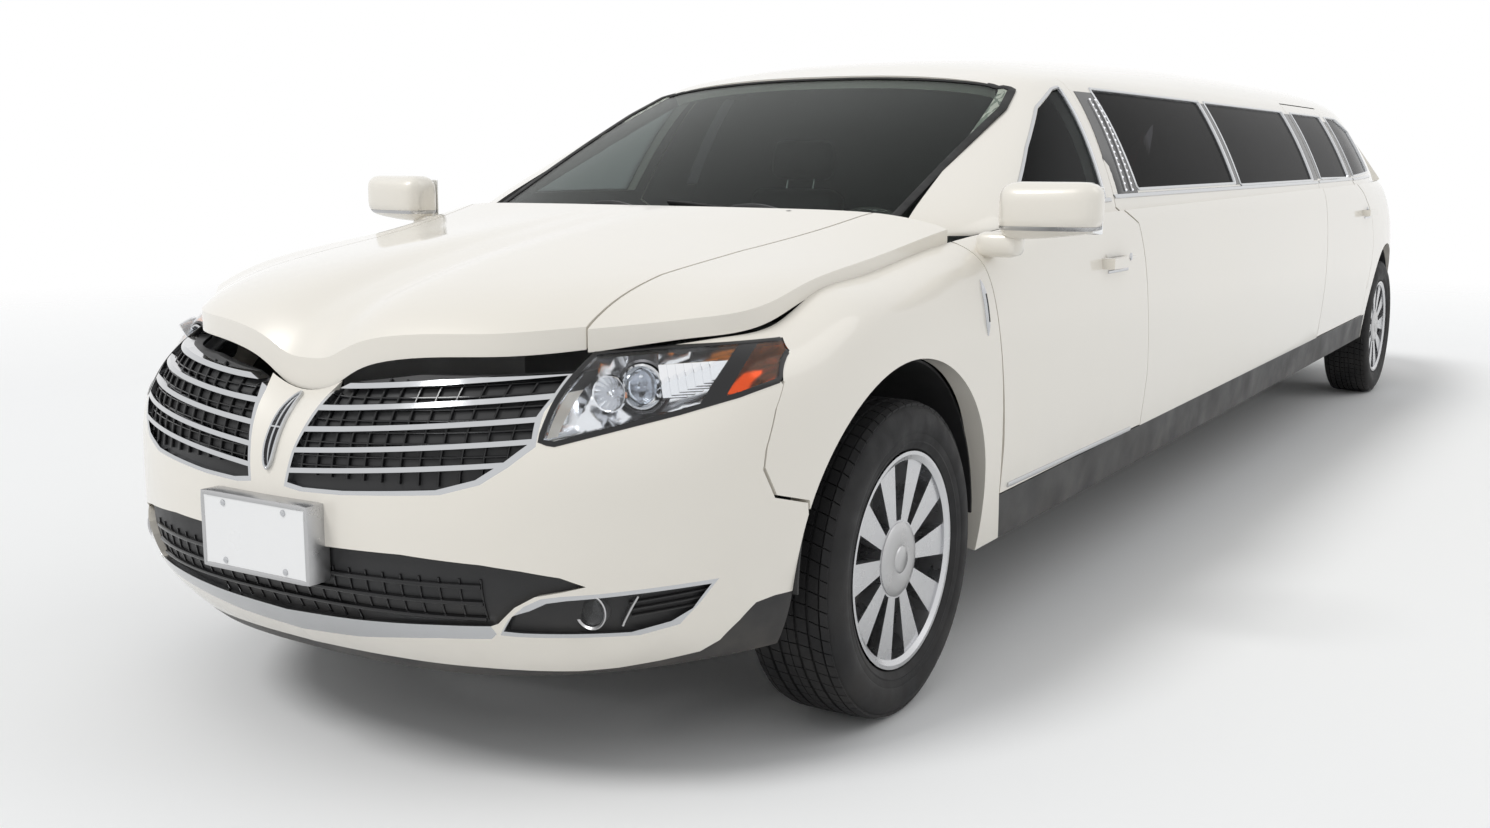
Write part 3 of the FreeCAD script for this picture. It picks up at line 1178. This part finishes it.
rearBench = boxBetween((rearBenchX + size.seatGap, -dashHalf, floorTop),
                       (rearBenchX + size.seatDepth, dashHalf, floorTop + size.seatRunner + size.cushionHeight))
rearBack = boxBetween((rearBenchX + size.seatGap, -dashHalf, floorTop + size.seatRunner + size.cushionHeight),
                      (rearBenchX + size.backDepth, dashHalf, floorTop + size.seatRunner + size.cushionHeight + size.backHeight))
rearSeat = rearBench.fuse(rearBack)
addFeature("lounge_seats", Part.makeCompound([bench.fuse(benchBack), rearSeat]))
subParts.append(addPrimitive(
    "Part::Box", "bar_cabinet", (benchRear, benchOuter - size.benchWidth * size.barDepthShare, floorTop), None,
    {"Width": "Sizes.benchWidth * Sizes.barDepthShare", "Height": "Sizes.barHeight"}, {"Length": benchFront - benchRear}))

# Exhaust: pipe between the rails with muffler and tail pipes
pipeLow = railTop - size.crossHeight - size.pipeRadius - size.seatGap
mufflerFront = aheadRear(mufflerShare)
mufflerRear = mufflerFront - size.mufflerLength
forward = Vector(1, 0, 0)
exhaustParts = [
    addPrimitive("Part::Cylinder", "exhaustPipe", (mufflerFront, size.pipeOffset, pipeLow), forward,
                 {"Radius": "Sizes.pipeRadius"}, {"Height": noseX(0) - engineGap * base - mufflerFront}),
    addPrimitive("Part::Cylinder", "muffler", (mufflerRear, size.pipeOffset, pipeLow), forward,
                 {"Radius": "Sizes.mufflerRadius", "Height": "Sizes.mufflerLength"}),
    addPrimitive("Part::Cylinder", "tailPipe", (tailX(tailPipeShare), size.pipeOffset, pipeLow), forward,
                 {"Radius": "Sizes.pipeRadius"}, {"Height": mufflerRear - tailX(tailPipeShare)}),
]
addFusion("exhaust_system", exhaustParts)

# Door mirrors, handles, plate, wipers, tail lamps
mirrorBox = boxBetween((frontSeam - size.mirrorDepth, size.mirrorRoot, size.mirrorLow),
                       (frontSeam, size.mirrorRoot + size.mirrorLength, size.mirrorLow + size.mirrorHeight))
mirrorBox = mirrorBox.makeFillet(size.mirrorDepth * 0.3, mirrorBox.Edges)
mirrorFoot = boxBetween((frontSeam - size.mirrorDepth * 0.75, half - size.doorWall, size.mirrorLow - size.mirrorHeight * 0.3),
                        (frontSeam - size.mirrorDepth * 0.35, size.mirrorRoot + size.mirrorLength * 0.3, size.mirrorLow + size.mirrorHeight * 0.3))
mirrorHead = mirrorBox.fuse(mirrorFoot).cut(frontDoor)
mirrorHead = firstSolids(mirrorHead)
addFeature("mirror_left", mirrorHead)
addFeature("mirror_right", mirrorY(mirrorHead))


def makeHandle(front, height):
    bar = boxBetween((front - size.handleLength, half, height), (front, half + size.handleRadius * 2, height + size.handleRadius * 2.4))
    foot = boxBetween((front - size.handleLength, half - size.doorWall / 2, height), (front - size.handleLength + size.handleRadius * 3, half + size.handleRadius, height + size.handleRadius * 2.4))
    nose = boxBetween((front - size.handleRadius * 3, half - size.doorWall / 2, height), (front, half + size.handleRadius, height + size.handleRadius * 2.4))
    return bar.fuse([foot, nose])


frontDoor = frontDoor.fuse(makeHandle(frontRear + 0.135 * base, 0.852 * belt + riseAt(frontRear)))
rearDoor = rearDoor.fuse(makeHandle(rearRear + 0.105 * base, 0.852 * belt + riseAt(rearRear)))
plate = boxBetween((noseX(1) , -size.plateLength / 2, size.plateCentre - size.plateHeight / 2),
                   (noseX(1) + size.plateDepth, size.plateLength / 2, size.plateCentre + size.plateHeight / 2))
plateFoot = boxBetween((noseX(0.965), -size.plateLength * 0.4, size.plateCentre - size.plateHeight * 0.4),
                       (noseX(1) + size.plateDepth / 2, size.plateLength * 0.4, size.plateCentre + size.plateHeight * 0.4))
plate = plate.fuse(plateFoot).cut(Part.makeCompound([lowerGrille, frontBumper, bumperStrip]))
plate = largestSolid(plate)
plateBores = []
for side in (-1, 1):
    for level in (-1, 1):
        start = Vector(noseX(1) - cut, side * size.plateHoleSpanX / 2, size.plateCentre + level * size.plateHoleSpanZ / 2)
        plateBores.append(Part.makeCylinder(size.plateHoleRadius, 2 * cut, start, Vector(1, 0, 0)))
plateBores = Part.makeCompound(plateBores)
plate = plate.cut(plateBores)
frontBumper = frontBumper.cut(plateBores)
lowerGrille = lowerGrille.cut(plateBores)
addFeature("front_plate", plate)


screenSurface = splineSurface(screenOuter)


def onScreen(place, lift):
    """A point over the windscreen; place is the share across it and the share up it."""
    u = place[0] * (len(screenOuter) - 3)
    v = place[1] * (len(screenOuter[0]) - 3)
    return screenSurface.value(u, v) - screenSurface.normal(u, v) * lift


def makeWiper(root, tip):
    start = onScreen(root, size.wiperRadius + size.seatGap)
    end = onScreen(tip, size.wiperLift)
    return Part.makeCylinder(size.wiperRadius, (end - start).Length, start, end - start)


wiperArms = [makeWiper(root, tip) for root, tip in wiperShares]
addFeature("wipers", Part.makeCompound(wiperArms))

gateLamp = tailgate.common(rearPrism([(0, 0.765), (0.78, 0.765), (0.78, 0.860), (0, 0.860)], False, tailX(1.2), tailX(0.72)))
sideLamp = bodyLeft.common(rearPrism([(0, 0.765), (1.00, 0.765), (1.00, 0.860), (0, 0.860)], False, tailX(1.2), tailX(0.62)))
tailgate = tailgate.cut(gateLamp)
bodyLeft = bodyLeft.cut(sideLamp)
addFeature("tail_lamps", bothSides(firstSolids(sideLamp)))
addFeature("tailgate_lamp", firstSolids(gateLamp))
addFeature("door_front_left", frontDoor)
addFeature("door_rear_left", rearDoor)
addFeature("door_front_right", mirrorY(frontDoor))
addFeature("door_rear_right", mirrorY(rearDoor))
addFeature("body_side_left", bodyLeft)
addFeature("body_side_right", mirrorY(bodyLeft))
addFeature("hood", firstSolids(hoodPanel))
addFeature("front_bumper", firstSolids(frontBumper))
addFeature("front_lip", frontLip)
addFeature("bumper_trim", Part.makeCompound([bumperStrip, fogFrame, mirrorY(fogFrame)]))
addFeature("grille_bars", bothSides(brightBars))
addFeature("front_fenders", bothSides(fenderLeft))
addFeature("fender_tops", firstSolids(fenderTops))
addFeature("rocker_cladding", bothSides(cladding))
addFeature("roof", roofShape)
addFeature("rear_bumper", rearBumper)
addFeature("tailgate", tailgate)
addFeature("headlamps", bothSides(lampShape))
addFeature("tailgate_glass", gateGlass)
addFeature("windscreen", windscreen)
addFeature("grille", bothSides(grilleWing))
addFeature("lower_grille", lowerGrille)
addFeature("fog_lamps", bothSides(fogPocket))
addFeature("glass_front_left", frontGlass)
addFeature("glass_rear_left", rearGlass)
addFeature("glass_front_right", mirrorY(frontGlass))
addFeature("glass_rear_right", mirrorY(rearGlass))
addFeature("side_glass", bothSides(fixedGlass))
doc.recompute()
faults = [item.Label for item in doc.Objects if "Invalid" in item.State or "Error" in item.State]
for feature in subParts:
    if feature.Shape.isNull() or not feature.Shape.isValid():
        faults.append(feature.Label)
if faults:
    raise ValueError("these objects have no sound shape: " + ", ".join(faults))
for feature in subParts:
    feature.Shape.exportStep("parts/%s.step" % feature.Label)
